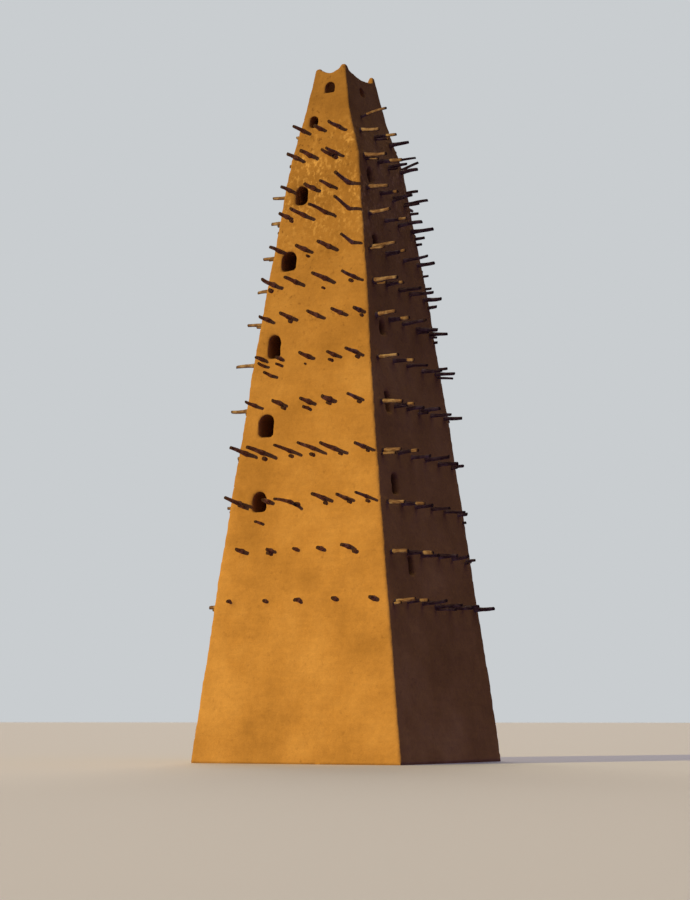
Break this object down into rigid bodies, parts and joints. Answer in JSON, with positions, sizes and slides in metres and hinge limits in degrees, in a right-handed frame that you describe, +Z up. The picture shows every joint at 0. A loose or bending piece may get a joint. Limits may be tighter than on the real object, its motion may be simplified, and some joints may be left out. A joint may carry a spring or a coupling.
{
  "type": "mud-brick minaret",
  "caption": "Tall tapering square minaret of mud brick: a hollow shaft laced with projecting palm poles, small arched windows, a terrace and blunt corner horns.",
  "frame": {"origin": "centre of the tower's foot, at ground level", "axes": "+Z up; the front with the leftmost windows faces -Y; +X to the right as seen from the front"},
  "size_m": [9.7254, 9.5358, 27.2],
  "materials": {
    "mud_plaster": "matt sun-dried mud plaster",
    "palm_wood": "weathered round palm poles",
    "beaten_earth": "beaten earth"
  },
  "bodies": {
    "root": {"front_wall_foot": "mud_plaster", "right_wall_foot": "mud_plaster", "left_wall_foot": "mud_plaster", "front_wall_lower": "mud_plaster", "right_wall_lower": "mud_plaster", "back_wall_lower": "mud_plaster", "left_wall_lower": "mud_plaster", "front_wall_middle": "mud_plaster", "right_wall_middle": "mud_plaster", "back_wall_middle": "mud_plaster", "left_wall_middle": "mud_plaster", "front_wall_upper": "mud_plaster", "right_wall_upper": "mud_plaster", "back_wall_upper": "mud_plaster", "left_wall_upper": "mud_plaster", "back_wall_over_door": "mud_plaster", "back_wall_left_of_door": "mud_plaster", "back_wall_right_of_door": "mud_plaster", "parapet_front": "mud_plaster", "parapet_right": "mud_plaster", "parapet_back": "mud_plaster", "parapet_left": "mud_plaster", "corner_horn_front_left": "mud_plaster", "corner_horn_front_right": "mud_plaster", "corner_horn_back_right": "mud_plaster", "corner_horn_back_left": "mud_plaster", "toron_course_01": "palm_wood", "toron_course_02": "palm_wood", "toron_course_03": "palm_wood", "toron_course_04": "palm_wood", "toron_course_05": "palm_wood", "toron_course_06": "palm_wood", "toron_course_07": "palm_wood", "toron_course_08": "palm_wood", "toron_course_09": "palm_wood", "toron_course_10": "palm_wood", "toron_course_11": "palm_wood", "toron_course_12": "palm_wood", "toron_course_13": "palm_wood", "lone_toron_right": "palm_wood", "door_lintel": "palm_wood", "terrace_joists": "palm_wood", "ground_floor": "beaten_earth", "terrace_deck": "beaten_earth"}
  },
  "joints": []
}
